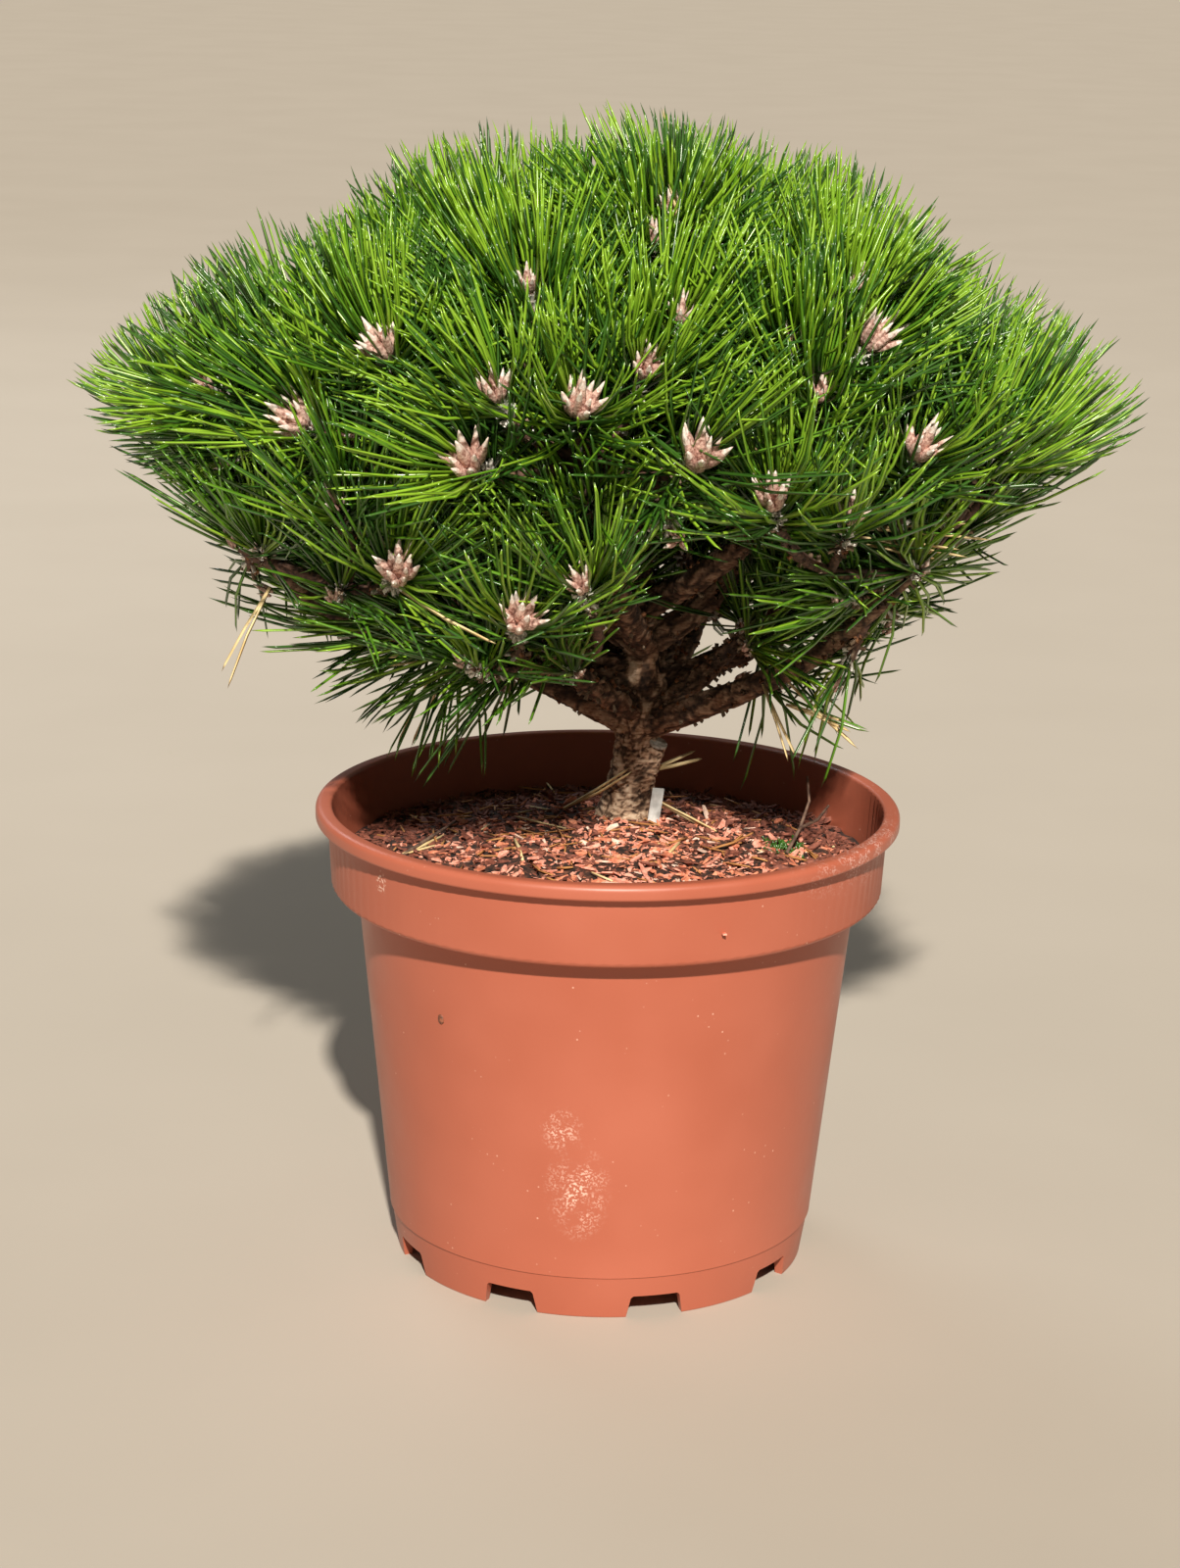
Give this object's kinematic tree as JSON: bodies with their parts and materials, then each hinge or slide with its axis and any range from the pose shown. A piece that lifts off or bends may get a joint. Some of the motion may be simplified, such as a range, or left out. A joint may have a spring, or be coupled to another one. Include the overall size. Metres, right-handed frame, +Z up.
{
  "type": "potted marie bregeon austrian pine",
  "caption": "Dwarf pine with a dense low crown of long paired needles on upswept boughs, growing in a round nursery pot with a deep rolled rim and a slotted foot ring.",
  "frame": {"origin": "middle of the pot's flat underside, on the pot's axis", "axes": "+Z up along the pot's axis, -Y towards the front of the plant, +X to the viewer's right"},
  "size_m": [0.5258, 0.5042, 0.5888],
  "materials": {
    "pot": "satin terracotta-coloured plastic, dusty and lightly scuffed",
    "compost": "damp bark compost with reddish chips",
    "label": "plain white",
    "bark": "rough grey-brown bark",
    "needles": "stiff glossy green needles"
  },
  "bodies": {
    "root": {"pot": "pot", "compost": "compost", "label_strip": "label", "trunk": "bark", "bough_low_front_right": "bark", "bough_low_right": "bark", "bough_low_back_right": "bark", "bough_low_back": "bark", "bough_low_left": "bark", "bough_low_front_left": "bark", "bough_middle_front": "bark", "bough_middle_front_right": "bark", "bough_middle_back_right": "bark", "bough_middle_back": "bark", "bough_middle_back_left": "bark", "bough_middle_front_left": "bark", "bough_inner_right": "bark", "bough_inner_back_right": "bark", "bough_inner_back_left": "bark", "bough_inner_left": "bark", "bough_inner_front_left": "bark", "foliage_low_front_right": "needles", "foliage_low_right": "needles", "foliage_low_back_right": "needles", "foliage_low_back": "needles", "foliage_low_left": "needles", "foliage_low_front_left": "needles", "foliage_middle_front": "needles", "foliage_middle_front_right": "needles", "foliage_middle_back_right": "needles", "foliage_middle_back": "needles", "foliage_middle_back_left": "needles", "foliage_middle_front_left": "needles", "foliage_upper_back_right": "needles", "foliage_upper_back_left": "needles", "foliage_upper_front_left": "needles", "foliage_upper_front_right": "needles", "foliage_inner_right": "needles", "foliage_inner_back_right": "needles", "foliage_inner_back_left": "needles", "foliage_inner_left": "needles", "foliage_inner_front_left": "needles", "foliage_top": "needles"}
  },
  "joints": []
}
